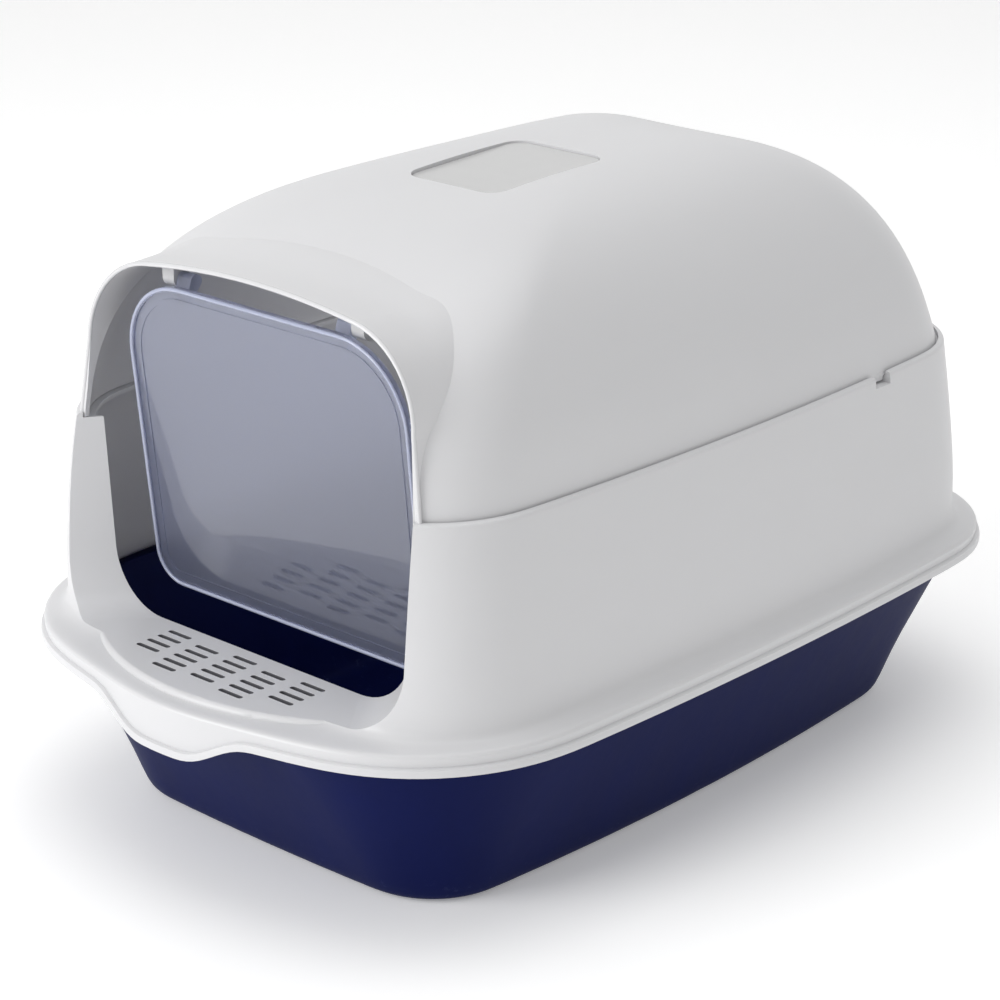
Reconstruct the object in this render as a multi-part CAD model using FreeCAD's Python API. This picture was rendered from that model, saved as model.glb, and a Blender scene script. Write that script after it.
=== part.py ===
import FreeCAD, Part
import math
import os

# Cat litter box with a two-part hood, in millimetres.
# +Z is up, the entrance faces -Y, and the object is mirror-symmetric about X = 0.
# The origin is the centre of the object's footprint, on the floor.

V = FreeCAD.Vector

# ---- driving dimensions -----------------------------------------------------------

WALL = 2.5                # moulded wall thickness of the tray and both hoods

# Tray
TRAY_RIM_Z = 115.5
TRAY_FLOOR = 3.0

# Flange round the foot of the lower hood
LIP_HALF_WIDTH = 200.0
LIP_FRONT = -283.0
LIP_REAR = 297.0
LIP_LOW_Z = 107.5
BULGE = 14.0              # how far the flange swells forward at the middle of the front
BULGE_HALF = 110.0
APRON_DROP = 17.0         # how far the grip under the entrance hangs below the lip
APRON_FLAT_HALF = 18.0
APRON_HALF = 64.0

# Joint between the two hoods
SEAM_Z = 242.0            # top of the lower hood's shoulder
LEDGE_Z = 239.0           # ledge that the upper hood stands on
LEDGE_INSET = 11.0
SHOULDER_INSET = 3.5
SEAM_HALF_WIDTH = 175.0
SEAM_FRONT = -246.0
SEAM_REAR = 268.0
SEAM_CORNER = 76.0
DOME_INSET = 4.5          # the upper hood's face stands this far inside the lower hood's
STAND_GAP = 0.3           # clearance between pieces that rest on each other

# Entrance
DOOR_HALF_WIDTH = 121.0   # at the foot of the rear edge
DOOR_CORNER = 39.0
DOOR_RETURN_Y = -218.0    # rear edge of the turned-in frame round the entrance
DOOR_DRAFT = 0.75         # how fast each side of the entrance widens towards the front
DOOR_SPREAD = 0.07        # how fast each side widens upward
PLATFORM_TOP_Z = 124.0
PLATFORM_THICKNESS = 1.8
PLATFORM_FRONT = -284.0
PLATFORM_RADIUS = 178.0
PLATFORM_HALF = 112.0

# Drain slots in the platform
SLOT_LENGTH = 18.5
SLOT_WIDTH = 3.5
SLOT_PITCH_X = 27.5
SLOT_PITCH_Y = 8.2
SLOT_FIRST_Y = -265.3     # front slot of the outer and the two near-middle columns

# Upper hood: its crown, and for upright sections towards the side, front and rear,
# the height where each superellipse springs and how square it is
CROWN_Y = 76.0
CROWN_Z = 372.8
SPRING_SIDE = 62.0
SPRING_FRONT = 225.0
SPRING_REAR = 62.0
SQUARE_SIDE = 3.28
SQUARE_FRONT = 3.18
SQUARE_REAR = 3.0

# Visor over the entrance: an arched tunnel whose outside flares smoothly into the dome
VISOR_LOW_Z = 182.0       # level that the visor's sides are drawn from, below the seam
VISOR_HALF_WIDTH = 140.0
VISOR_TAPER = 9.0         # narrowing of each side from that level to the shoulder
VISOR_TOP_Z = 347.5       # at the middle
VISOR_TOP_RADIUS = 560.0
VISOR_CORNER = 55.0
VISOR_FRONT = -226.1
VISOR_LEAN = 0.066
FLARE_LENGTH = 38.0       # length over which the visor's outside swells into the dome
FLARE_SIDE = 5.0
FLARE_TOP = 4.0
FLARE_SHOULDER_Y = -222.0
FLARE_TOP_Y = -196.0

# Plate set in the roof
PLATE_LENGTH = 101.0
PLATE_WIDTH = 73.0
PLATE_CORNER = 12.0
PLATE_Y = -7.0
PLATE_SEAT_Z = 368.3      # bottom of the seat at the plate's centre
PLATE_TILT = 2.0          # degrees, following the roof
PLATE_THICKNESS = 1.4

# Catch tongues on the two long sides
TONGUE_Y = 144.0
TONGUE_WIDTH = 13.0
TONGUE_LOW_Z = 236.3
TONGUE_INSET = 4.7        # flush with the dome's foot
TONGUE_THICKNESS = 2.3
NOTCH_GAP = 1.4

# Flap and its pivots
PIVOT_Y = -203.0
PIVOT_Z = 331.0
PIN_RADIUS = 2.4
PIN_CLEARANCE = 0.08
FLAP_HALF_WIDTH = 111.5
FLAP_TOP_Z = 328.0
FLAP_LOW_Z = 134.0
FLAP_TOP_Y = -211.0
FLAP_TILT = 6.0           # degrees; the flap's foot hangs a little further in than its top
FLAP_THICKNESS = 1.8
FLAP_TOP_CORNER = 48.0
FLAP_LOW_CORNER = 20.0
FLAP_RIM = 3.0
EAR_INNER_X = 58.0
EAR_OUTER_X = 69.0
BRACKET_INNER_X = 70.5
BRACKET_OUTER_X = 80.0

SIDE_STEPS = 8
CORNER_STEPS = 8
END_STEPS = 8


# ---- outlines ---------------------------------------------------------------------

def quarter(half_width, half_length, corner, bow_side, bow_end):
    """Points from the middle of one long side to the middle of one end, x and y positive.

    The side and the end are shallow arcs that bow outward, joined by a corner arc."""
    side_radius = (half_length ** 2 + bow_side ** 2) / (2 * bow_side)
    end_radius = (half_width ** 2 + bow_end ** 2) / (2 * bow_end)
    side_x = half_width - side_radius
    end_y = half_length - end_radius
    # The corner's centre is where two circles meet, each one corner radius inside an arc.
    reach_side = side_radius - corner
    reach_end = end_radius - corner
    apart = math.hypot(side_x, end_y)
    along = (reach_side ** 2 - reach_end ** 2 + apart ** 2) / (2 * apart)
    across = math.sqrt(reach_side ** 2 - along ** 2)
    ux = -side_x / apart
    uy = end_y / apart
    cx = side_x + along * ux - across * uy
    cy = along * uy + across * ux
    if cx < 0:
        cx = side_x + along * ux + across * uy
        cy = along * uy - across * ux
    side_end = math.atan2(cy, cx - side_x)
    corner_end = math.atan2(cy - end_y, cx)
    points = []
    for i in range(SIDE_STEPS):
        t = side_end * i / SIDE_STEPS
        points.append((side_x + side_radius * math.cos(t), side_radius * math.sin(t)))
    for i in range(CORNER_STEPS):
        t = side_end + (corner_end - side_end) * i / CORNER_STEPS
        points.append((cx + corner * math.cos(t), cy + corner * math.sin(t)))
    for i in range(END_STEPS + 1):
        t = corner_end + (math.pi / 2 - corner_end) * i / END_STEPS
        points.append((end_radius * math.cos(t), end_y + end_radius * math.sin(t)))
    return points


def outline(half_width, front, rear, front_corner, rear_corner, bow_side=13.0, bow_end=5.0):
    """Closed outline in plan, counter-clockwise from the middle of the +X side."""
    middle = (front + rear) / 2
    half_length = (rear - front) / 2
    back = quarter(half_width, half_length, rear_corner, bow_side, bow_end)
    fore = quarter(half_width, half_length, front_corner, bow_side, bow_end)
    points = [(x, middle + y) for x, y in back]
    points += [(-x, middle + y) for x, y in back[-2::-1]]
    points += [(-x, middle - y) for x, y in fore[1:]]
    points += [(x, middle - y) for x, y in fore[-2:0:-1]]
    return points


def level(points, z):
    return [V(x, y, z) for x, y in points]


# ---- surfaces ---------------------------------------------------------------------

def band(rows):
    """A closed strip of surface through rows of control points, smooth all the way round."""
    around = len(rows[0])
    degree = min(3, len(rows) - 1)
    poles = [[row[i] for row in rows] for i in range(around)]
    spans = len(rows) - degree
    surface = Part.BSplineSurface()
    surface.buildFromPolesMultsKnots(
        poles,
        [1] * (around + 1),
        [degree + 1] + [1] * (spans - 1) + [degree + 1],
        list(range(around + 1)),
        list(range(spans + 1)),
        True, False, 3, degree)
    return surface.toShape()


def cap(row):
    """Flat face inside one closed row."""
    around = len(row)
    curve = Part.BSplineCurve()
    curve.buildFromPolesMultsKnots(
        row, [1] * (around + 1), list(range(around + 1)), True, 3)
    return Part.Face(Part.Wire([curve.toShape()]))


def closed_solid(faces):
    shell = Part.makeShell(faces)
    shell.sewShape()
    solid = Part.Solid(shell)
    if solid.Volume < 0:
        solid.reverse()
    return solid


def rounded_rectangle(half_x, half_y, corner, centre_y, z):
    x = half_x
    y = half_y
    k = corner * (1 - math.sqrt(0.5))
    edges = []
    for sx, sy in ((1, 1), (-1, 1), (-1, -1), (1, -1)):
        a = V(sx * x, centre_y + sy * (y - corner), z)
        b = V(sx * (x - k), centre_y + sy * (y - k), z)
        c = V(sx * (x - corner), centre_y + sy * y, z)
        if sx * sy < 0:
            a, c = c, a
        edges.append(Part.Arc(a, b, c).toShape())
    lines = []
    for i in range(4):
        start = edges[i].Vertexes[-1].Point
        end = edges[(i + 1) % 4].Vertexes[0].Point
        lines.append(Part.LineSegment(start, end).toShape())
    return Part.Wire(Part.__sortEdges__(edges + lines))


def arch(half_width, foot_z, top_z, corner, y, taper=0.0, foot_corner=0.0):
    """Upright outline in a plane of constant y, with rounded shoulders and foot corners."""
    shoulder = half_width - taper
    k = corner * (1 - math.sqrt(0.5))
    foot_k = foot_corner * (1 - math.sqrt(0.5))
    left_top = V(-shoulder + corner, y, top_z)
    right_top = V(shoulder - corner, y, top_z)
    left_low = V(-shoulder, y, top_z - corner)
    right_low = V(shoulder, y, top_z - corner)
    left_foot = V(-half_width, y, foot_z + foot_corner)
    right_foot = V(half_width, y, foot_z + foot_corner)
    edges = [Part.LineSegment(left_foot, left_low).toShape()]
    edges.append(Part.Arc(left_low, V(-shoulder + k, y, top_z - k), left_top).toShape())
    edges.append(Part.LineSegment(left_top, right_top).toShape())
    edges.append(Part.Arc(right_top, V(shoulder - k, y, top_z - k), right_low).toShape())
    edges.append(Part.LineSegment(right_low, right_foot).toShape())
    left_base = V(-half_width + foot_corner, y, foot_z)
    right_base = V(half_width - foot_corner, y, foot_z)
    right_mid = V(half_width - foot_k, y, foot_z + foot_k)
    left_mid = V(-half_width + foot_k, y, foot_z + foot_k)
    edges.append(Part.Arc(right_foot, right_mid, right_base).toShape())
    edges.append(Part.LineSegment(right_base, left_base).toShape())
    edges.append(Part.Arc(left_base, left_mid, left_foot).toShape())
    return Part.Wire(edges)


def prism(wire, along):
    return Part.Face(wire).extrude(along)


# ---- litter tray ------------------------------------------------------------------

def tray_row(spread, z, inset=0.0):
    """One level of the tray's wall; spread runs from 0 at the floor to 1 at the rim."""
    half_width = 143.0 + (188.0 - 143.0) * spread - inset
    front = -215.0 - (271.0 - 215.0) * spread + inset
    rear = 236.0 + (285.5 - 236.0) * spread - inset
    front_corner = 50.0 + (113.0 - 50.0) * spread - inset
    rear_corner = 48.0 + (87.0 - 48.0) * spread - inset
    return level(outline(half_width, front, rear, front_corner, rear_corner), z)


def make_tray():
    outer = band([
        tray_row(-0.28, 0.0),
        tray_row(-0.14, 0.0),
        tray_row(0.0, 1.0),
        tray_row(0.09, 8.0),
        tray_row(0.22, 28.0),
        tray_row(0.50, 60.0),
        tray_row(0.76, 88.0),
        tray_row(1.0, TRAY_RIM_Z - 2.6),
    ])
    inner = band([
        tray_row(-0.28, TRAY_FLOOR, WALL),
        tray_row(-0.14, TRAY_FLOOR, WALL),
        tray_row(0.0, TRAY_FLOOR + 1.0, WALL),
        tray_row(0.09, 11.0, WALL),
        tray_row(0.22, 29.0, WALL),
        tray_row(0.50, 60.0, WALL),
        tray_row(0.76, 88.0, WALL),
        tray_row(1.0, TRAY_RIM_Z, WALL),
    ])
    rim_low = [tray_row(1.0, TRAY_RIM_Z - 2.6), tray_row(1.0, TRAY_RIM_Z - 2.6, -6.0)]
    rim_edge = [rim_low[1], tray_row(1.0, TRAY_RIM_Z, -6.0)]
    rim_top = [rim_edge[1], tray_row(1.0, TRAY_RIM_Z, WALL)]
    floor_low = cap(tray_row(-0.28, 0.0))
    floor_top = cap(tray_row(-0.28, TRAY_FLOOR, WALL))
    return closed_solid(
        [outer, band(rim_low), band(rim_edge), band(rim_top), inner, floor_low, floor_top])


# ---- lower hood -------------------------------------------------------------------

def swell(x, half):
    """Smooth hump: 1 at the middle, 0 beyond half."""
    if abs(x) >= half:
        return 0.0
    return math.cos(math.pi * x / (2 * half)) ** 2


def apron_drop(x):
    """How far the lip hangs down at x."""
    reach = abs(x) - APRON_FLAT_HALF
    if reach <= 0:
        return APRON_DROP
    return APRON_DROP * swell(reach, APRON_HALF - APRON_FLAT_HALF)


def hood_row(half_width, front, rear, front_corner, rear_corner, z, inset=0.0, bulge=0.0, drop=0.0):
    """One level of the lower hood, with a share of the front bulge and of the apron."""
    points = outline(half_width - inset, front + inset, rear - inset,
                     front_corner - inset, rear_corner - inset)
    row = []
    for x, y in points:
        if y < 0:
            row.append(V(x, y - bulge * BULGE * swell(x, BULGE_HALF), z - drop * apron_drop(x)))
        else:
            row.append(V(x, y, z))
    return row


def flange_row(offset, z, inset=0.0, drop=0.0):
    """A row of the flange, offset inward from the outer edge of the lip."""
    return hood_row(LIP_HALF_WIDTH - offset, LIP_FRONT + offset, LIP_REAR - offset,
                    122.0 - offset, 97.0 - offset, z, inset, 1.0, drop)


def hood_wall_rows(inset, fall):
    """Rows from the flange's shelf up the wall, the same for the outer and the inner face."""
    return [
        flange_row(2.2, 117.6 - fall, inset),
        flange_row(2.6, 119.2 - fall, inset),
        flange_row(5.0, 120.0 - fall, inset),
        hood_row(191.5, -268.0, 288.0, 106.0, 92.0, 121.0 - fall, inset, 0.55),
        hood_row(186.0, -257.0, 282.0, 84.0, 85.0, 122.5 - fall, inset, 0.15),
        hood_row(183.6, -252.5, 278.5, 77.0, 82.0, 128.0 - fall * 0.5, inset),
        hood_row(183.2, -251.5, 277.5, 73.0, 80.0, 138.0, inset),
        hood_row(182.6, -250.5, 276.5, 71.0, 78.0, 155.0, inset),
        hood_row(180.0, -249.0, 273.5, 70.0, 77.0, 190.0, inset),
        hood_row(177.0, -247.0, 270.0, 72.0, 77.0, 222.0, inset),
    ]


def seam_row(inset, z):
    return hood_row(SEAM_HALF_WIDTH, SEAM_FRONT, SEAM_REAR, SEAM_CORNER, SEAM_CORNER, z, inset)


def seam_x(y):
    """Half-width of the seam's outer edge at y."""
    points = outline(SEAM_HALF_WIDTH, SEAM_FRONT, SEAM_REAR, SEAM_CORNER, SEAM_CORNER)
    near = [point for point in points if point[0] > 0]
    return min(near, key=lambda point: abs(point[1] - y))[0]


def door_form(grow, front_y, rear_y):
    """The U-shaped way through the front wall, grown outward by grow."""
    foot_z = PLATFORM_TOP_Z - grow
    top_z = SEAM_Z + 60
    corner = DOOR_CORNER + grow
    spread = DOOR_SPREAD * (top_z - foot_z - 2 * corner)
    wires = []
    for y in (front_y, rear_y):
        half_width = DOOR_HALF_WIDTH + DOOR_DRAFT * (DOOR_RETURN_Y - y) + grow
        wires.append(arch(half_width, foot_z, top_z, corner, y, -spread, foot_corner=corner))
    return Part.makeLoft(wires, True, True)


def make_platform():
    """Raised step in front of the entrance: bowed front edge, straight rear edge."""
    low_z = PLATFORM_TOP_Z - 5.0
    sag = PLATFORM_RADIUS - math.sqrt(PLATFORM_RADIUS ** 2 - PLATFORM_HALF ** 2)
    left = V(-PLATFORM_HALF, PLATFORM_FRONT + sag, low_z)
    right = V(PLATFORM_HALF, PLATFORM_FRONT + sag, low_z)
    back_right = V(PLATFORM_HALF, DOOR_RETURN_Y, low_z)
    back_left = V(-PLATFORM_HALF, DOOR_RETURN_Y, low_z)
    wire = Part.Wire([
        Part.Arc(left, V(0, PLATFORM_FRONT, low_z), right).toShape(),
        Part.LineSegment(right, back_right).toShape(),
        Part.LineSegment(back_right, back_left).toShape(),
        Part.LineSegment(back_left, left).toShape(),
    ])
    plate = prism(wire, V(0, 0, PLATFORM_TOP_Z - low_z))
    front_edges = []
    for edge in plate.Edges:
        middle = edge.CenterOfMass
        if middle.z > PLATFORM_TOP_Z - 0.1 and middle.y < PLATFORM_FRONT + sag - 5:
            front_edges.append(edge)
    plate = plate.makeFillet(3.4, front_edges)
    hollow = wire.copy()
    hollow_face = Part.Face(hollow.makeOffset2D(-WALL))
    hollow_solid = hollow_face.extrude(V(0, 0, PLATFORM_TOP_Z - PLATFORM_THICKNESS - low_z))
    return plate.cut(hollow_solid)


def make_slots():
    slots = []
    for column in range(-2, 3):
        near = column % 2 == 0
        first = SLOT_FIRST_Y + (SLOT_PITCH_Y / 2 if near else 0.0)
        count = 5
        if abs(column) == 2:
            first += SLOT_PITCH_Y
            count = 4
        for i in range(count):
            y = first + i * SLOT_PITCH_Y
            half = SLOT_LENGTH / 2
            radius = SLOT_WIDTH / 2
            wire = rounded_rectangle(half, radius, radius - 0.01, y, PLATFORM_TOP_Z - 20)
            slot = prism(wire, V(0, 0, 40))
            slot.translate(V(column * SLOT_PITCH_X, 0, 0))
            slots.append(slot)
    return Part.makeCompound(slots)


def make_lower_hood():
    outer = band(hood_wall_rows(0.0, 0.0) + [seam_row(0.0, SEAM_Z - 2.5)])
    shoulder = band([
        seam_row(0.0, SEAM_Z - 2.5),
        seam_row(0.2, SEAM_Z - 0.4),
        seam_row(1.6, SEAM_Z),
        seam_row(SHOULDER_INSET, SEAM_Z),
    ])
    step_in = band([seam_row(SHOULDER_INSET, SEAM_Z), seam_row(SHOULDER_INSET, LEDGE_Z)])
    ledge = band([seam_row(SHOULDER_INSET, LEDGE_Z), seam_row(LEDGE_INSET, LEDGE_Z)])
    ledge_edge = band([seam_row(LEDGE_INSET, LEDGE_Z), seam_row(LEDGE_INSET, LEDGE_Z - WALL)])
    ledge_low = band([seam_row(LEDGE_INSET, LEDGE_Z - WALL), seam_row(WALL, LEDGE_Z - WALL)])
    inner = band(hood_wall_rows(WALL, WALL) + [seam_row(WALL, LEDGE_Z - WALL)])
    step_out = flange_row(2.6, LIP_LOW_Z + 5.0, 0.0, 1.0)
    lip_top = flange_row(0.4, LIP_LOW_Z + 4.2, 0.0, 1.0)
    lip_low = flange_row(0.0, LIP_LOW_Z, 0.0, 1.0)
    lip_in = flange_row(WALL, LIP_LOW_Z, 0.0, 1.0)
    wall_foot = flange_row(2.2, 117.6)
    inner_foot = flange_row(2.2, 117.6 - WALL, WALL)
    faces = [
        outer, shoulder, step_in, ledge, ledge_edge, ledge_low, inner,
        band([wall_foot, step_out]),
        band([step_out, lip_top]),
        band([lip_top, flange_row(-0.3, LIP_LOW_Z + 2.5, 0.0, 1.0), lip_low]),
        band([lip_low, lip_in]),
        band([lip_in, inner_foot]),
    ]
    hood = closed_solid(faces)
    door = door_form(0.0, -330.0, -150.0)
    hood = hood.cut(door)
    # A frame turned in round the entrance stiffens its edge.
    frame = door_form(WALL, -330.0, DOOR_RETURN_Y).cut(door)
    within = hood_wall_rows(WALL / 2, WALL / 2) + [seam_row(WALL / 2, LEDGE_Z)]
    keep = closed_solid([band(within), cap(within[0]), cap(within[-1])])
    frame = frame.common(keep)
    hood = hood.fuse([frame, make_platform()])
    hood = hood.cut(make_slots())
    inner_face = seam_x(TONGUE_Y) - TONGUE_INSET - TONGUE_THICKNESS - NOTCH_GAP
    for side in (-1, 1):
        pocket = Part.makeBox(9.5, TONGUE_WIDTH + 2 * NOTCH_GAP + 4, LEDGE_Z - TONGUE_LOW_Z + 3.5)
        pocket.translate(V(inner_face - 2 if side > 0 else -inner_face - 7.5,
                           TONGUE_Y - TONGUE_WIDTH / 2 - NOTCH_GAP - 2, TONGUE_LOW_Z - 3.5))
        notch = Part.makeBox(20, TONGUE_WIDTH + 2 * NOTCH_GAP, 20)
        notch.translate(V(inner_face if side > 0 else -inner_face - 20,
                          TONGUE_Y - TONGUE_WIDTH / 2 - NOTCH_GAP, TONGUE_LOW_Z - NOTCH_GAP))
        hood = hood.fuse(pocket).cut(notch)
    return hood


# ---- upper hood -------------------------------------------------------------------

def toward(direction_y, across, side, front, rear):
    """Mix a side value with a front or rear one by the direction from the crown."""
    end = front if direction_y < 0 else rear
    return side * across + end * (1 - across)


def dome_rows(inset, steps=16):
    """Rows of control points from the dome's foot up to the crown.

    In plan the dome follows the seam's outline. Upright sections through the crown are
    superellipses, whose squareness changes smoothly from side to front or rear."""
    plan = outline(SEAM_HALF_WIDTH - DOME_INSET - inset, SEAM_FRONT + DOME_INSET + inset,
                   SEAM_REAR - DOME_INSET - inset, SEAM_CORNER - DOME_INSET - inset,
                   SEAM_CORNER - DOME_INSET - inset)
    foot_z = LEDGE_Z + STAND_GAP
    columns = []
    for x, y in plan:
        dy = y - CROWN_Y
        reach = math.hypot(x, dy)
        across = (x / reach) ** 2
        power = toward(dy, across, SQUARE_SIDE, SQUARE_FRONT, SQUARE_REAR)
        spring = toward(dy, across, SPRING_SIDE, SPRING_FRONT, SPRING_REAR)
        rise = CROWN_Z - inset - spring
        start = (foot_z - spring) / rise
        full = reach / (1 - start ** power) ** (1 / power)
        first = math.atan2(start, (1 - start ** power) ** (1 / power))
        column = []
        for i in range(steps):
            angle = first + (math.pi / 2 - first) * i / steps
            norm = (math.cos(angle) ** power + math.sin(angle) ** power) ** (1 / power)
            out = full * math.cos(angle) / norm
            up = rise * math.sin(angle) / norm
            column.append(V(x / reach * out, CROWN_Y + dy / reach * out, spring + up))
        column.append(V(0, CROWN_Y, CROWN_Z - inset))
        columns.append(column)
    return [[column[i] for column in columns] for i in range(steps + 1)]


def dome_solid(inset, skirt=0.0):
    """The dome as a full solid, with an upright skirt below its foot if one is asked for."""
    rows = dome_rows(inset)
    foot = rows[0]
    if skirt == 0:
        return closed_solid([band(rows), cap(foot)])
    low = [V(point.x, point.y, point.z - skirt) for point in foot]
    return closed_solid([band(rows), band([low, foot]), cap(low)])


def flare(y, start_y, growth):
    """Outward swelling of the visor at y, rising smoothly from nothing to growth."""
    t = min(max((y - start_y) / FLARE_LENGTH, 0.0), 1.0)
    return growth * t * t * (3 - 2 * t)


def visor_section(y, inset):
    """The visor's outline at y: straight sides, round shoulders and a shallow arc on top."""
    foot = VISOR_HALF_WIDTH - inset
    shoulder = foot - VISOR_TAPER + flare(y, FLARE_SHOULDER_Y, FLARE_SIDE)
    top = VISOR_TOP_Z - inset + flare(y, FLARE_TOP_Y, FLARE_TOP)
    corner = VISOR_CORNER - inset
    reach = VISOR_TOP_RADIUS - corner
    centre_z = top - VISOR_TOP_RADIUS
    lean = math.asin((shoulder - corner) / reach)
    corner_z = centre_z + reach * math.cos(lean)
    middle = (math.pi / 2 + lean) / 2
    touch_x = VISOR_TOP_RADIUS * math.sin(lean)
    touch_z = centre_z + VISOR_TOP_RADIUS * math.cos(lean)
    middle_x = shoulder - corner + corner * math.sin(middle)
    middle_z = corner_z + corner * math.cos(middle)
    return Part.Wire([
        Part.LineSegment(V(-foot, y, VISOR_LOW_Z), V(-shoulder, y, corner_z)).toShape(),
        Part.Arc(V(-shoulder, y, corner_z), V(-middle_x, y, middle_z),
                 V(-touch_x, y, touch_z)).toShape(),
        Part.Arc(V(-touch_x, y, touch_z), V(0, y, top), V(touch_x, y, touch_z)).toShape(),
        Part.Arc(V(touch_x, y, touch_z), V(middle_x, y, middle_z),
                 V(shoulder, y, corner_z)).toShape(),
        Part.LineSegment(V(shoulder, y, corner_z), V(foot, y, VISOR_LOW_Z)).toShape(),
        Part.LineSegment(V(foot, y, VISOR_LOW_Z), V(-foot, y, VISOR_LOW_Z)).toShape(),
    ])


def visor_form(inset):
    """The visor from in front of the dome to well inside it."""
    first = VISOR_FRONT - 25.0
    last = FLARE_TOP_Y + FLARE_LENGTH + 20.0
    count = 17
    ys = [first + (last - first) * i / (count - 1) for i in range(count)]
    return Part.makeLoft([visor_section(y, inset) for y in ys], True, False)


def visor_front_cut():
    """Everything in front of the visor's leaning front edge."""
    low = 200.0
    high = 400.0
    y_low = VISOR_FRONT + VISOR_LEAN * (low - SEAM_Z)
    y_high = VISOR_FRONT + VISOR_LEAN * (high - SEAM_Z)
    wire = Part.makePolygon([V(-200, y_low - 100, low), V(-200, y_low, low),
                             V(-200, y_high, high), V(-200, y_high - 100, high),
                             V(-200, y_low - 100, low)])
    return prism(wire, V(400, 0, 0))


def roof_pad(grow, low, high):
    """Rounded rectangle in the roof's slope, from low to high above the plate's seat."""
    wire = rounded_rectangle(PLATE_WIDTH / 2 + grow, PLATE_LENGTH / 2 + grow,
                             PLATE_CORNER + grow, 0.0, low)
    pad = prism(wire, V(0, 0, high - low))
    pad.rotate(V(0, 0, 0), V(1, 0, 0), PLATE_TILT)
    pad.translate(V(0, PLATE_Y, PLATE_SEAT_Z))
    return pad


def make_tongue(side):
    """Catch that hangs from the dome's foot into the lower hood's notch."""
    tongue = Part.makeBox(TONGUE_THICKNESS, TONGUE_WIDTH, LEDGE_Z + 2.5 - TONGUE_LOW_Z)
    low_edges = [edge for edge in tongue.Edges if edge.CenterOfMass.z < 0.1]
    tongue = tongue.makeFillet(0.5, low_edges)
    face = seam_x(TONGUE_Y) - TONGUE_INSET
    tongue.translate(V(face - TONGUE_THICKNESS if side > 0 else -face,
                       TONGUE_Y - TONGUE_WIDTH / 2, TONGUE_LOW_Z))
    return tongue


def make_upper_hood():
    low_z = LEDGE_Z + STAND_GAP
    below = Part.makeBox(600, 400, 100, V(-300, -400, low_z - 100))
    visor = visor_form(0.0).cut(visor_front_cut()).cut(below)
    outer = dome_solid(0.0).fuse(visor)
    outer = outer.cut(roof_pad(0.0, 0.0, 20.0))
    inner = dome_solid(WALL, 30.0).fuse(visor_form(WALL))
    inner = inner.cut(roof_pad(WALL, -WALL, 20.0))
    hood = outer.cut(inner)
    return hood.fuse([make_tongue(side) for side in (-1, 1)])


def make_roof_plate():
    plate = roof_pad(-0.3, 0.0, PLATE_THICKNESS)
    top_edges = [edge for edge in plate.Edges if edge.CenterOfMass.z > PLATE_SEAT_Z + 0.9]
    return plate.makeFillet(0.4, top_edges)


# ---- flap and its pivots ----------------------------------------------------------

def flap_blank(inset, front, back):
    """The flap's outline, upright at y = 0 and hanging from z = 0, between two depths."""
    height = (FLAP_TOP_Z - FLAP_LOW_Z) / math.cos(math.radians(FLAP_TILT))
    wire = arch(FLAP_HALF_WIDTH - inset, -height + inset, -inset, FLAP_TOP_CORNER - inset,
                front, foot_corner=FLAP_LOW_CORNER - inset)
    return prism(wire, V(0, back - front, 0))


def make_ear(side):
    """Ear that reaches from the flap's top edge to the pivot, with its pin."""
    low = V(0, FLAP_TOP_Y + 1.2, FLAP_TOP_Z - 9.0)
    centre = V(0, PIVOT_Y, PIVOT_Z)
    radius = 4.2
    direction = centre - low
    direction.normalize()
    across = V(0, -direction.z, direction.y)
    points = [low + across * 1.6, centre + across * radius, centre + direction * radius,
              centre - across * radius, low - across * 1.6]
    wire = Part.Wire([
        Part.LineSegment(points[0], points[1]).toShape(),
        Part.Arc(points[1], points[2], points[3]).toShape(),
        Part.LineSegment(points[3], points[4]).toShape(),
        Part.LineSegment(points[4], points[0]).toShape(),
    ])
    ear = prism(wire, V(EAR_OUTER_X - EAR_INNER_X, 0, 0))
    ear.translate(V(EAR_INNER_X, 0, 0))
    pin = Part.makeCylinder(PIN_RADIUS, BRACKET_OUTER_X + 1.2 - EAR_INNER_X - 2.0,
                            V(EAR_INNER_X + 2.0, PIVOT_Y, PIVOT_Z), V(1, 0, 0))
    ear = ear.fuse(pin)
    if side < 0:
        ear = ear.mirror(V(0, 0, 0), V(1, 0, 0))
    return ear


def make_flap():
    half = FLAP_THICKNESS / 2
    pane = flap_blank(0.0, -half, half)
    bead = flap_blank(0.0, -half - 0.9, half + 0.5).cut(flap_blank(FLAP_RIM, -9.0, 9.0))
    inner_bead = flap_blank(7.0, -half - 0.5, 0.0).cut(flap_blank(9.0, -9.0, 9.0))
    flap = pane.fuse([bead, inner_bead])
    flap.rotate(V(0, 0, 0), V(1, 0, 0), FLAP_TILT)
    flap.translate(V(0, FLAP_TOP_Y, FLAP_TOP_Z))
    return flap.fuse([make_ear(-1), make_ear(1)])


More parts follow.
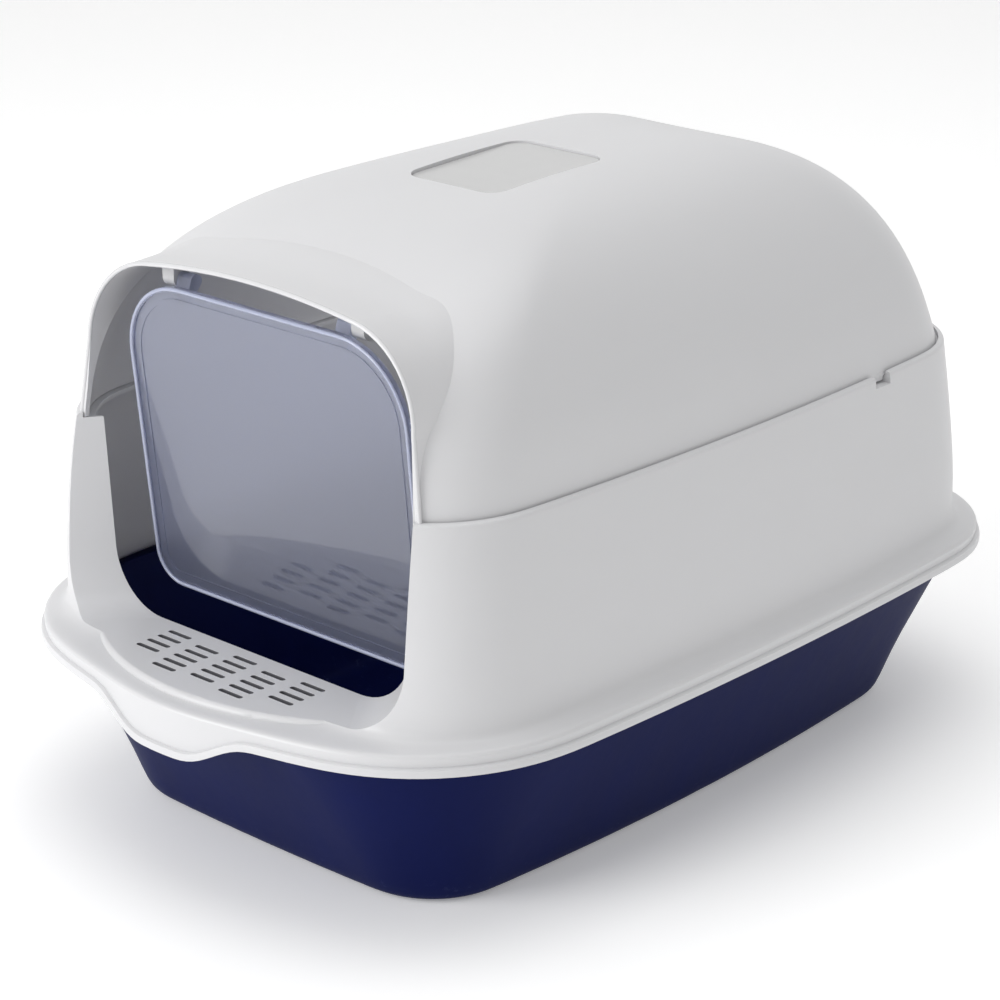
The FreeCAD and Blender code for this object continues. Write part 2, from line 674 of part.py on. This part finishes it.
def make_bracket(side, hood):
    """Bracket under the visor that the flap's pin turns in."""
    radius = 5.6
    top = VISOR_TOP_Z - 2.0
    centre = V(0, PIVOT_Y, PIVOT_Z)
    wire = Part.Wire([
        Part.LineSegment(V(0, PIVOT_Y - radius, top), V(0, PIVOT_Y - radius, PIVOT_Z)).toShape(),
        Part.Arc(centre - V(0, radius, 0), centre - V(0, 0, radius), centre + V(0, radius, 0)).toShape(),
        Part.LineSegment(V(0, PIVOT_Y + radius, PIVOT_Z), V(0, PIVOT_Y + radius, top)).toShape(),
        Part.LineSegment(V(0, PIVOT_Y + radius, top), V(0, PIVOT_Y - radius, top)).toShape(),
    ])
    bracket = prism(wire, V(BRACKET_OUTER_X - BRACKET_INNER_X, 0, 0))
    bracket.translate(V(BRACKET_INNER_X, 0, 0))
    foot = Part.makeBox(BRACKET_OUTER_X - BRACKET_INNER_X + 6, 2 * radius + 5, 6,
                        V(BRACKET_INNER_X - 3, PIVOT_Y - radius - 2.5, top - 6))
    bore = Part.makeCylinder(PIN_RADIUS + PIN_CLEARANCE, 40, V(BRACKET_INNER_X - 15, PIVOT_Y, PIVOT_Z),
                             V(1, 0, 0))
    bracket = bracket.fuse(foot).cut(bore)
    if side < 0:
        bracket = bracket.mirror(V(0, 0, 0), V(1, 0, 0))
    pieces = bracket.cut(hood).Solids
    pieces.sort(key=lambda piece: piece.Volume)
    return pieces[-1]


def save(shape, name):
    shape.exportStep("parts/" + name + ".step")
    print(name, "valid", shape.isValid(), "solids", len(shape.Solids), "volume", round(shape.Volume))


if __name__ == "__main__":
    os.makedirs("parts", exist_ok=True)
    upper_hood = make_upper_hood()
    save(make_tray(), "litter_tray")
    save(make_lower_hood(), "lower_hood")
    save(upper_hood, "upper_hood")
    save(make_roof_plate(), "roof_plate")
    save(make_flap(), "flap")
    save(make_bracket(-1, upper_hood), "flap_bracket_left")
    save(make_bracket(1, upper_hood), "flap_bracket_right")
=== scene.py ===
"""Finishes, light and camera for the cat litter box with a hood.

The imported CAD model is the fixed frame; each operator below dresses or adds one group of
its pieces. Sizes in this file are in metres."""
import math
import bmesh
import bpy
from mathutils import Matrix, Vector


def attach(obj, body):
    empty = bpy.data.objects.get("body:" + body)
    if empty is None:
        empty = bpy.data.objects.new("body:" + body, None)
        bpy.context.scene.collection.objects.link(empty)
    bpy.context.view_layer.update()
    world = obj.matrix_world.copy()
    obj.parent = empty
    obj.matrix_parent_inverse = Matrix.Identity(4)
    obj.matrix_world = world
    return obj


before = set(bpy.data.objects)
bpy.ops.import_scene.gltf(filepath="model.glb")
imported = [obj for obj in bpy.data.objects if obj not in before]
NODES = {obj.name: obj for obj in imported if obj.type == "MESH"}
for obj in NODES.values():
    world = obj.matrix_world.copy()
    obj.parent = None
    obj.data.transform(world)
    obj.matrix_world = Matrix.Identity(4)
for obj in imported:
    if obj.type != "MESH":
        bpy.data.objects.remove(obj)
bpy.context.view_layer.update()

bl_info = {
    "name": "Hooded litter box finishes",
    "version": (1, 0, 0),
    "blender": (4, 5, 0),
    "location": "3D View > Sidebar > Litter Box",
    "description": "Finishes, light and camera for a cat litter box with a hood",
    "category": "Object",
}


# ---- places on the box that the finishes and beads follow -------------------------

PLATFORM_TOP = 0.124          # top of the step in front of the entrance
SLOT_SHADE_DEPTH = 0.0035           # how far below the step's top the painted shade of the drain slots reaches
SLOTS_REACH = 0.0655          # half the width of the field of slots
SLOTS_FRONT = -0.268
SLOTS_REAR = -0.222

FLAP_HALF_WIDTH = 0.1115
FLAP_TOP_Z = 0.328
FLAP_LOW_Z = 0.134
FLAP_TOP_Y = -0.211
FLAP_TILT = math.radians(6.0)
FLAP_TOP_CORNER = 0.048
FLAP_LOW_CORNER = 0.020

VISOR_LOW_Z = 0.2405          # where the visor's front edge starts, just above the ledge
VISOR_HALF_WIDTH = 0.1365     # at its foot, in the middle of its wall
VISOR_SHOULDER = 0.1298       # half width at the shoulders
VISOR_TOP_Z = 0.3463
VISOR_TOP_RADIUS = 0.5588
VISOR_CORNER = 0.0538
VISOR_FRONT = -0.2257         # y of the front edge at the seam
VISOR_LEAN = 0.066            # how far the edge leans back for each metre up
SEAM_Z = 0.242


# ---- shader maths -----------------------------------------------------------------

class Number:
    """A number that varies over a surface. Operators on it add Math nodes."""

    def __init__(self, board, socket):
        self.board = board
        self.socket = socket

    def maths(self, operation, *others, clamp=False):
        inputs = {0: self}
        for place, other in enumerate(others, start=1):
            inputs[place] = other
        return self.board.add("ShaderNodeMath", {"operation": operation, "use_clamp": clamp},
                              inputs).out(0)

    def flipped(self, operation, other):
        return self.board.add("ShaderNodeMath", {"operation": operation}, {0: other, 1: self}).out(0)

    def __add__(self, other):
        return self.maths("ADD", other)

    def __radd__(self, other):
        return self.maths("ADD", other)

    def __sub__(self, other):
        return self.maths("SUBTRACT", other)

    def __rsub__(self, other):
        return self.flipped("SUBTRACT", other)

    def __mul__(self, other):
        return self.maths("MULTIPLY", other)

    def __rmul__(self, other):
        return self.maths("MULTIPLY", other)

    def __truediv__(self, other):
        return self.maths("DIVIDE", other)

    def __rtruediv__(self, other):
        return self.flipped("DIVIDE", other)

    def __lt__(self, other):
        return self.maths("LESS_THAN", other)

    def __gt__(self, other):
        return self.maths("GREATER_THAN", other)

    def __abs__(self):
        return self.maths("ABSOLUTE")

    def clipped(self):
        return self.maths("ADD", 0.0, clamp=True)


class Placed:
    """A node on a board, with its outputs at hand."""

    def __init__(self, board, node):
        self.board = board
        self.node = node

    def out(self, key):
        return Number(self.board, self.node.outputs[key])


class Board:
    """The node tree of one material."""

    def __init__(self, name):
        self.material = bpy.data.materials.new(name)
        self.material.use_nodes = True
        self.tree = self.material.node_tree
        self.tree.nodes.clear()
        self.place = self.add("ShaderNodeTexCoord").out("Object")

    def add(self, kind, settings=None, inputs=None):
        """One node: its settings first, then the values or links of its sockets."""
        node = self.tree.nodes.new(kind)
        for key, value in (settings or {}).items():
            setattr(node, key, value)
        for key, value in (inputs or {}).items():
            if isinstance(value, Number):
                self.tree.links.new(value.socket, node.inputs[key])
            else:
                node.inputs[key].default_value = value
        return Placed(self, node)

    def axes(self):
        split = self.add("ShaderNodeSeparateXYZ", None, {0: self.place})
        return split.out(0), split.out(1), split.out(2)

    def noise(self, scale, detail=3.0, roughness=0.5, place=None):
        """Cloudy pattern between 0 and 1; scale is in spots per metre."""
        inputs = {"Vector": place or self.place, "Scale": scale, "Detail": detail,
                  "Roughness": roughness}
        return self.add("ShaderNodeTexNoise", {"noise_dimensions": "3D"}, inputs).out(0)

    def stretched(self, x, y, z):
        """Object coordinates scaled unevenly, for streaks."""
        return self.add("ShaderNodeMapping", None,
                        {"Vector": self.place, "Scale": (x, y, z)}).out(0)

    def blend(self, factor, first, second):
        """Colour that goes from first to second as factor goes from 0 to 1."""
        return self.add("ShaderNodeMix", {"data_type": "RGBA"},
                        {0: factor, 6: first, 7: second}).out(2)

    def bump(self, height, strength, distance, under=None):
        inputs = {"Height": height, "Strength": strength, "Distance": distance}
        if under is not None:
            inputs["Normal"] = under
        return self.add("ShaderNodeBump", None, inputs).out(0)

    def finish(self, inputs):
        shader = self.add("ShaderNodeBsdfPrincipled", None, inputs)
        self.add("ShaderNodeOutputMaterial", None, {"Surface": shader.out(0)})
        return self.material


def colour(values):
    return (values[0], values[1], values[2], 1.0)


def shaded(values, factor):
    return (values[0] * factor, values[1] * factor, values[2] * factor, 1.0)


# ---- finishes ---------------------------------------------------------------------

def white_moulding(settings):
    """Satin white polypropylene: faint flow marks, fine mould texture, and painted shade darkening
    the drain slots.
    """
    board = Board("white_moulding")
    x, y, z = board.axes()
    flow = board.noise(14.0, 4.0, 0.55, board.stretched(1.0, 0.6, 1.8))
    specks = board.noise(420.0, 2.0)
    base = board.blend(flow, shaded(settings.white, 0.965), colour(settings.white))
    # Painted shade: everything just under the step's top within the field of slots is darkened in
    # the base colour. This stands in for the shade inside the drain slots.
    top = PLATFORM_TOP - 0.0002
    slot_shade_mask = (z < top) * (z > top - SLOT_SHADE_DEPTH) * (abs(x) < SLOTS_REACH)
    slot_shade_mask = slot_shade_mask * (y > SLOTS_FRONT) * (y < SLOTS_REAR)
    slot_shaded_base = board.blend(slot_shade_mask * 0.82, base, (0.035, 0.035, 0.05, 1.0))
    gloss = settings.white_roughness - 0.05 + flow * 0.07 + specks * 0.05
    grain = board.bump(board.noise(1500.0, 2.0), 0.05, 0.0002)
    waves = board.bump(flow, 0.12, 0.0016, grain)
    return board.finish({"Base Color": slot_shaded_base, "Roughness": gloss, "Normal": waves,
                         "IOR": 1.49, "Coat Weight": 0.12, "Coat Roughness": 0.3,
                         "Subsurface Weight": 0.06, "Subsurface Scale": 0.004,
                         "Subsurface Radius": (1.0, 0.9, 0.85)})


def navy_moulding(settings):
    """Semi-gloss navy plastic with soft streaks up its walls and light scuffs low down."""
    board = Board("navy_moulding")
    x, y, z = board.axes()
    streaks = board.noise(22.0, 4.0, 0.6, board.stretched(1.0, 1.0, 0.25))
    scuffs = board.noise(160.0, 5.0, 0.7)
    low = (1 - z / 0.02).clipped()
    base = board.blend(streaks, shaded(settings.navy, 0.8), shaded(settings.navy, 1.2))
    worn = board.blend((scuffs > 0.62) * low * 0.25, base, (0.06, 0.07, 0.16, 1.0))
    gloss = 0.36 + streaks * 0.10 + scuffs * 0.06 + low * 0.08
    grain = board.bump(board.noise(1100.0, 2.0), 0.06, 0.0002)
    waves = board.bump(streaks, 0.15, 0.0015, grain)
    return board.finish({"Base Color": worn, "Roughness": gloss, "Normal": waves,
                         "IOR": 1.49, "Specular IOR Level": 0.05})


def frosted_sheet(settings):
    """See-through frosted sheet: clouded refraction under a smooth face."""
    board = Board("frosted_sheet")
    cloud = board.noise(9.0, 3.0, 0.5)
    frost = board.noise(900.0, 2.0)
    base = board.blend(cloud, shaded(settings.frost, 0.96), colour(settings.frost))
    gloss = 0.34 + cloud * 0.05 + frost * 0.04
    grain = board.bump(frost, 0.04, 0.0001)
    return board.finish({"Base Color": base, "Roughness": gloss, "Normal": grain,
                         "Transmission Weight": 0.9, "IOR": 1.25,
                         "Coat Weight": 1.0, "Coat Roughness": 0.03, "Coat IOR": 1.65})


def milky_clip(settings):
    """Whitish, slightly see-through plastic of the small brackets."""
    board = Board("milky_clip")
    cloud = board.noise(60.0, 3.0)
    base = board.blend(cloud, shaded(settings.white, 0.92), colour(settings.white))
    gloss = 0.28 + cloud * 0.12
    grain = board.bump(board.noise(1300.0, 2.0), 0.05, 0.0001)
    return board.finish({"Base Color": base, "Roughness": gloss, "Normal": grain,
                         "Transmission Weight": 0.25, "IOR": 1.45})


def roof_inlay(settings):
    """Glossier, greyer plate set in the roof."""
    board = Board("roof_inlay")
    cloud = board.noise(30.0, 3.0)
    base = board.blend(cloud, shaded(settings.plate, 0.95), colour(settings.plate))
    gloss = 0.2 + cloud * 0.1
    grain = board.bump(board.noise(1200.0, 2.0), 0.04, 0.0001)
    return board.finish({"Base Color": base, "Roughness": gloss, "Normal": grain,
                         "IOR": 1.5, "Coat Weight": 0.3, "Coat Roughness": 0.1})


def polished_bead(name, tone, clear):
    """Smooth rounded edge that catches the light."""
    board = Board(name)
    cloud = board.noise(80.0, 3.0)
    base = board.blend(cloud, shaded(tone, 0.94), colour(tone))
    gloss = 0.16 + cloud * 0.08
    grain = board.bump(board.noise(1200.0, 2.0), 0.03, 0.0001)
    return board.finish({"Base Color": base, "Roughness": gloss, "Normal": grain,
                         "Transmission Weight": clear, "IOR": 1.45,
                         "Coat Weight": 0.5, "Coat Roughness": 0.06})


def pale_backdrop(settings):
    board = Board("pale_backdrop")
    cloud = board.noise(3.0, 2.0)
    base = board.blend(cloud, shaded(settings.floor, 0.99), colour(settings.floor))
    return board.finish({"Base Color": base, "Roughness": 0.55 + cloud * 0.1,
                         "Specular IOR Level": 0.2, "Emission Color": base,
                         "Emission Strength": 0.2})


# ---- beads swept along an edge ----------------------------------------------------


def turned(centre_x, centre_z, radius, start, end, steps):
    """Points of an arc in the x-z plane; angles run from the upright, towards +x."""
    points = []
    for i in range(steps + 1):
        angle = start + (end - start) * i / steps
        points.append((centre_x + radius * math.sin(angle), centre_z + radius * math.cos(angle)))
    return points


def flap_outline(inset, front):
    """Closed path round the flap's front edge."""
    height = (FLAP_TOP_Z - FLAP_LOW_Z) / math.cos(FLAP_TILT)
    side = FLAP_HALF_WIDTH - inset
    top = FLAP_TOP_CORNER - inset
    low = FLAP_LOW_CORNER - inset
    quarter = math.pi / 2
    flat = turned(side - top, -inset - top, top, 0.0, quarter, 12)
    flat += turned(side - low, -height + inset + low, low, quarter, 2 * quarter, 8)
    flat += turned(-side + low, -height + inset + low, low, 2 * quarter, 3 * quarter, 8)
    flat += turned(-side + top, -inset - top, top, 3 * quarter, 4 * quarter, 12)
    tilt = Matrix.Rotation(FLAP_TILT, 4, "X")
    place = Vector((0.0, FLAP_TOP_Y, FLAP_TOP_Z))
    return [place + tilt @ Vector((x, front, z)) for x, z in flat]


def visor_outline():
    """Open path along the visor's front edge, from one foot over the top to the other."""
    reach = VISOR_TOP_RADIUS - VISOR_CORNER
    lean = math.asin((VISOR_SHOULDER - VISOR_CORNER) / reach)
    centre_z = VISOR_TOP_Z - VISOR_TOP_RADIUS
    corner_z = centre_z + reach * math.cos(lean)
    corner_x = VISOR_SHOULDER - VISOR_CORNER
    flat = [(-VISOR_HALF_WIDTH, VISOR_LOW_Z)]
    flat += turned(-corner_x, corner_z, VISOR_CORNER, -math.pi / 2, -lean, 12)
    flat += turned(0.0, centre_z, VISOR_TOP_RADIUS, -lean, lean, 16)[1:-1]
    flat += turned(corner_x, corner_z, VISOR_CORNER, lean, math.pi / 2, 12)
    flat.append((VISOR_HALF_WIDTH, VISOR_LOW_Z))
    return [Vector((x, VISOR_FRONT + VISOR_LEAN * (z - SEAM_Z), z)) for x, z in flat]


def bead_tree():
    """Node group that sweeps a round bead along the edges it is given."""
    tree = bpy.data.node_groups.new("bead_along_path", "GeometryNodeTree")
    face = tree.interface
    face.new_socket("Path", in_out="INPUT", socket_type="NodeSocketGeometry")
    radius = face.new_socket("Radius", in_out="INPUT", socket_type="NodeSocketFloat")
    sides = face.new_socket("Sides", in_out="INPUT", socket_type="NodeSocketInt")
    finish = face.new_socket("Finish", in_out="INPUT", socket_type="NodeSocketMaterial")
    face.new_socket("Bead", in_out="OUTPUT", socket_type="NodeSocketGeometry")
    radius.default_value = 0.001
    sides.default_value = 12
    nodes = tree.nodes
    given = nodes.new("NodeGroupInput")
    curve = nodes.new("GeometryNodeMeshToCurve")
    circle = nodes.new("GeometryNodeCurvePrimitiveCircle")
    sweep = nodes.new("GeometryNodeCurveToMesh")
    smooth = nodes.new("GeometryNodeSetShadeSmooth")
    real = nodes.new("GeometryNodeRealizeInstances")
    painted = nodes.new("GeometryNodeSetMaterial")
    result = nodes.new("NodeGroupOutput")
    link = tree.links.new
    link(given.outputs["Path"], curve.inputs[0])
    link(given.outputs["Radius"], circle.inputs["Radius"])
    link(given.outputs["Sides"], circle.inputs["Resolution"])
    link(curve.outputs[0], sweep.inputs["Curve"])
    link(circle.outputs[0], sweep.inputs["Profile Curve"])
    sweep.inputs["Fill Caps"].default_value = True
    link(sweep.outputs[0], smooth.inputs[0])
    link(smooth.outputs[0], real.inputs[0])
    link(real.outputs[0], painted.inputs["Geometry"])
    link(given.outputs["Finish"], painted.inputs["Material"])
    link(painted.outputs[0], result.inputs["Bead"])
    return tree, {"Radius": radius.identifier, "Sides": sides.identifier,
                  "Finish": finish.identifier}


def outward(mesh):
    """Weld seams and turn every face outward."""
    work = bmesh.new()
    work.from_mesh(mesh)
    bmesh.ops.remove_doubles(work, verts=work.verts, dist=1e-6)
    bmesh.ops.recalc_face_normals(work, faces=work.faces)
    work.to_mesh(mesh)
    work.free()


def swept_bead(context, name, points, closed, radius, finish):
    """A plain mesh object: a round bead of the given radius along the points."""
    edges = [(i, i + 1) for i in range(len(points) - 1)]
    if closed:
        edges.append((len(points) - 1, 0))
    path = bpy.data.meshes.new(name + "_path")
    path.from_pydata(points, edges, [])
    guide = bpy.data.objects.new(name + "_guide", path)
    context.scene.collection.objects.link(guide)
    tree, keys = bead_tree()
    modifier = guide.modifiers.new("bead", "NODES")
    modifier.node_group = tree
    modifier[keys["Radius"]] = radius
    modifier[keys["Sides"]] = 12
    modifier[keys["Finish"]] = finish
    context.view_layer.update()
    graph = context.evaluated_depsgraph_get()
    mesh = bpy.data.meshes.new_from_object(guide.evaluated_get(graph))
    mesh.name = name
    bpy.data.objects.remove(guide)
    obj = bpy.data.objects.new(name, mesh)
    context.scene.collection.objects.link(obj)
    if not mesh.polygons:
        raise RuntimeError(name + " came out empty")
    outward(mesh)
    return obj


def dress(obj, material):
    obj.data.materials.clear()
    obj.data.materials.append(material)


# ---- settings ---------------------------------------------------------------------

class LitterBoxSettings(bpy.types.PropertyGroup):
    white: bpy.props.FloatVectorProperty(
        name="White", description="Colour of both hood mouldings",
        default=(0.66, 0.66, 0.672), subtype="COLOR", min=0.0, max=1.0)
    white_roughness: bpy.props.FloatProperty(
        name="White roughness", description="Roughness of the hood mouldings",
        default=0.38, min=0.0, max=1.0, subtype="FACTOR")
    navy: bpy.props.FloatVectorProperty(
        name="Navy", description="Colour of the tray",
        default=(0.0035, 0.0072, 0.060), subtype="COLOR", min=0.0, max=1.0)
    frost: bpy.props.FloatVectorProperty(
        name="Frosted sheet", description="Tint of the flap",
        default=(0.60, 0.64, 0.82), subtype="COLOR", min=0.0, max=1.0)
    plate: bpy.props.FloatVectorProperty(
        name="Roof plate", description="Colour of the plate in the roof",
        default=(0.53, 0.53, 0.53), subtype="COLOR", min=0.0, max=1.0)


class StageSettings(bpy.types.PropertyGroup):
    floor: bpy.props.FloatVectorProperty(
        name="Floor", description="Colour of the floor and backdrop",
        default=(0.97, 0.97, 0.97), subtype="COLOR", min=0.0, max=1.0)
    camera_place: bpy.props.FloatVectorProperty(
        name="Camera place", description="Where the camera stands",
        default=(1.1580, -1.2886, 0.8075), subtype="TRANSLATION", unit="LENGTH")
    camera_azimuth: bpy.props.FloatProperty(
        name="Azimuth", description="Turn of the camera round the box, from the front",
        default=math.radians(42.2214), subtype="ANGLE", unit="ROTATION")
    camera_elevation: bpy.props.FloatProperty(
        name="Elevation", description="How steeply the camera looks down",
        default=math.radians(20.5510), subtype="ANGLE", unit="ROTATION")
    camera_lens: bpy.props.FloatProperty(
        name="Lens", description="Focal length in millimetres",
        default=107.76, min=1.0)


# ---- operators --------------------------------------------------------------------

class LITTERBOX_OT_tray(bpy.types.Operator):
    """Give the tray its navy finish"""
    bl_idname = "litterbox.tray"
    bl_label = "Tray"

    def execute(self, context):
        dress(NODES["litter_tray"], navy_moulding(context.scene.litter_box))
        return {"FINISHED"}


class LITTERBOX_OT_hoods(bpy.types.Operator):
    """Give the hood mouldings and the roof plate their finishes"""
    bl_idname = "litterbox.hoods"
    bl_label = "Hoods"

    def execute(self, context):
        settings = context.scene.litter_box
        white = white_moulding(settings)
        dress(NODES["lower_hood"], white)
        dress(NODES["upper_hood"], white)
        dress(NODES["roof_plate"], roof_inlay(settings))
        return {"FINISHED"}


class LITTERBOX_OT_flap(bpy.types.Operator):
    """Give the flap and its brackets their finishes"""
    bl_idname = "litterbox.flap"
    bl_label = "Flap"

    def execute(self, context):
        settings = context.scene.litter_box
        dress(NODES["flap"], frosted_sheet(settings))
        clip = milky_clip(settings)
        dress(NODES["flap_bracket_left"], clip)
        dress(NODES["flap_bracket_right"], clip)
        rim = swept_bead(context, "flap_rim", flap_outline(0.0012, -0.0014), True, 0.0013,
                         polished_bead("flap_bead", settings.frost, 0.35))
        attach(rim, "flap")
        return {"FINISHED"}


class LITTERBOX_OT_visor_lip(bpy.types.Operator):
    """Round the visor's front edge with a bead"""
    bl_idname = "litterbox.visor_lip"
    bl_label = "Visor lip"

    def execute(self, context):
        settings = context.scene.litter_box
        lip = swept_bead(context, "visor_lip", visor_outline(), False, 0.0014,
                         polished_bead("lip_bead", settings.white, 0.0))
        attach(lip, "upper_hood")
        return {"FINISHED"}


class LITTERBOX_OT_stage(bpy.types.Operator):
    """Add the floor, the soft lights and the camera"""
    bl_idname = "litterbox.stage"
    bl_label = "Stage"

    def execute(self, context):
        settings = context.scene.litter_stage
        self.floor(settings)
        self.lights(context)
        self.camera(context, settings)
        return {"FINISHED"}

    def floor(self, settings):
        """A wide floor that curves up into a backdrop behind the box."""
        mesh = bpy.data.meshes.new("backdrop")
        sweep = bmesh.new()
        half = 6.0
        radius = 1.5
        back = 4.0
        profile = [(-6.0, 0.0), (back, 0.0)]
        for i in range(1, 17):
            turn = math.pi / 2 * i / 16
            profile.append((back + radius * math.sin(turn), radius * (1 - math.cos(turn))))
        profile.append((back + radius, 6.0))
        rows = []
        for x in (-half, half):
            rows.append([sweep.verts.new((x, y, z - 0.0004)) for y, z in profile])
        for i in range(len(profile) - 1):
            sweep.faces.new((rows[1][i], rows[1][i + 1], rows[0][i + 1], rows[0][i]))
        sweep.transform(Matrix.Rotation(settings.camera_azimuth, 4, "Z"))
        sweep.to_mesh(mesh)
        sweep.free()
        for face in mesh.polygons:
            face.use_smooth = True
        obj = bpy.data.objects.new("backdrop", mesh)
        bpy.context.scene.collection.objects.link(obj)
        dress(obj, pale_backdrop(settings))

    def lights(self, context):
        self.softbox(context, "front_softbox", (-0.9, -2.5, 1.15), 1.6, 42.0)
        self.softbox(context, "top_softbox", (0.0, 0.2, 2.6), 2.4, 24.0)
        self.softbox(context, "right_softbox", (2.4, -0.6, 1.4), 1.6, 2.0)
        self.inner_fill(context)
        world = bpy.data.worlds.new("studio")
        world.use_nodes = True
        sky = world.node_tree.nodes["Background"]
        sky.inputs["Color"].default_value = (1.0, 1.0, 1.0, 1.0)
        sky.inputs["Strength"].default_value = 0.52
        context.scene.world = world
        context.scene.view_settings.view_transform = "Standard"

    def softbox(self, context, name, place, size, power):
        light = bpy.data.lights.new(name, "AREA")
        light.size = size
        light.energy = power
        obj = bpy.data.objects.new(name, light)
        context.scene.collection.objects.link(obj)
        aim = Vector((0.0, 0.0, 0.18)) - Vector(place)
        obj.rotation_euler = aim.to_track_quat("-Z", "Y").to_euler()
        obj.location = place

    def inner_fill(self, context):
        """A weak lamp under the hood that lifts the shadows inside."""
        light = bpy.data.lights.new("inner_fill", "POINT")
        light.energy = 0.32
        light.shadow_soft_size = 0.06
        obj = bpy.data.objects.new("inner_fill", light)
        context.scene.collection.objects.link(obj)
        obj.location = (0.0, 0.05, 0.25)
        obj.visible_camera = False
        obj.visible_transmission = False

    def camera(self, context, settings):
        turn = settings.camera_azimuth
        tilt = settings.camera_elevation
        right = Vector((math.cos(turn), math.sin(turn), 0.0))
        back = Vector((math.sin(turn) * math.cos(tilt), -math.cos(turn) * math.cos(tilt),
                       math.sin(tilt)))
        up = back.cross(right)
        place = Matrix((right, up, back)).transposed().to_4x4()
        place.translation = settings.camera_place
        data = bpy.data.cameras.new("camera")
        data.sensor_width = 36.0
        data.lens = settings.camera_lens
        obj = bpy.data.objects.new("camera", data)
        context.scene.collection.objects.link(obj)
        obj.matrix_world = place
        context.scene.camera = obj


class LITTERBOX_PT_panel(bpy.types.Panel):
    bl_idname = "LITTERBOX_PT_panel"
    bl_label = "Litter Box"
    bl_space_type = "VIEW_3D"
    bl_region_type = "UI"
    bl_category = "Litter Box"

    def draw(self, context):
        for settings in (context.scene.litter_box, context.scene.litter_stage):
            for name in settings.bl_rna.properties.keys():
                if name not in ("rna_type", "name"):
                    self.layout.prop(settings, name)
        for operator in OPERATORS:
            self.layout.operator(operator.bl_idname)


OPERATORS = (LITTERBOX_OT_tray, LITTERBOX_OT_hoods, LITTERBOX_OT_flap,
             LITTERBOX_OT_visor_lip, LITTERBOX_OT_stage)
CLASSES = (LitterBoxSettings, StageSettings) + OPERATORS + (LITTERBOX_PT_panel,)


def register():
    for cls in CLASSES:
        bpy.utils.register_class(cls)
    bpy.types.Scene.litter_box = bpy.props.PointerProperty(type=LitterBoxSettings)
    bpy.types.Scene.litter_stage = bpy.props.PointerProperty(type=StageSettings)


def unregister():
    del bpy.types.Scene.litter_stage
    del bpy.types.Scene.litter_box
    for cls in reversed(CLASSES):
        bpy.utils.unregister_class(cls)


def main():
    register()
    bpy.ops.litterbox.tray()
    bpy.ops.litterbox.hoods()
    bpy.ops.litterbox.flap()
    bpy.ops.litterbox.visor_lip()
    bpy.ops.litterbox.stage()


if __name__ == "__main__":
    main()
